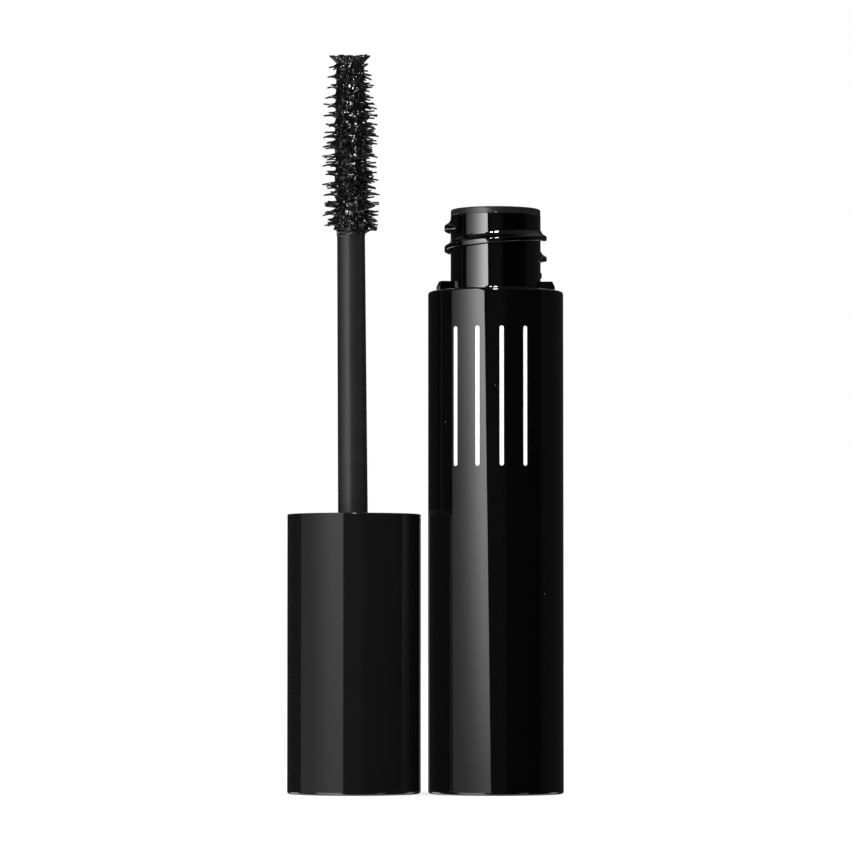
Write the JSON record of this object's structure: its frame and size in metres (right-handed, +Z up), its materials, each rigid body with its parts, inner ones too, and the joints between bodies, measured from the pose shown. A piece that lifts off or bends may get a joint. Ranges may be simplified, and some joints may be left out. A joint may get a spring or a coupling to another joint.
{
  "type": "mascara tube",
  "caption": "Open mascara tube: a glossy black cylindrical bottle with a threaded neck and a wiper, beside its wand, which stands upside down on its cap with the spiky brush up.",
  "frame": {"origin": "on the bottle's axis, in the plane that the bottle and the cap stand on", "axes": "+Z up along the bottle's axis, +X from the applicator towards the bottle, -Y towards the front with the foil"},
  "size_m": [0.0399, 0.0196, 0.1071],
  "materials": {
    "shell_gloss": "high gloss black",
    "silver_foil": "stamped silver foil, fine sparkle",
    "label": "satin film label",
    "neck_gloss": "high gloss black",
    "wiper_satin": "satin black, smeared with mascara inside",
    "cap_gloss": "semi-gloss black",
    "insert_satin": "satin black",
    "gasket_foam": "fine foam, off-white",
    "stem_satin": "satin black",
    "wire_steel": "drawn wire",
    "bristle_nylon": "black filament, wet with mascara",
    "mascara_wet": "wet black mascara"
  },
  "bodies": {
    "bottle": {"outer_shell": "shell_gloss", "foil_stripes": "silver_foil", "base_label": "label", "inner_bottle": "neck_gloss", "wiper": "wiper_satin"},
    "gasket": {"cap_gasket": "gasket_foam"},
    "applicator": {"cap_shell": "cap_gloss", "inner_cap": "insert_satin", "stem": "stem_satin", "brush_wire": "wire_steel", "bristles": "bristle_nylon", "formula_coat": "mascara_wet"}
  },
  "joints": [
    {"name": "applicator_lift", "type": "slide", "parent": "bottle", "child": "gasket", "axis": [0, 0, 1], "range_m": [0, 0.079]},
    {"name": "cap_turn", "type": "hinge", "parent": "gasket", "child": "applicator", "pos_m": [-0.02046, 0, 0], "axis": [0, 0, 1], "continuous": true}
  ]
}
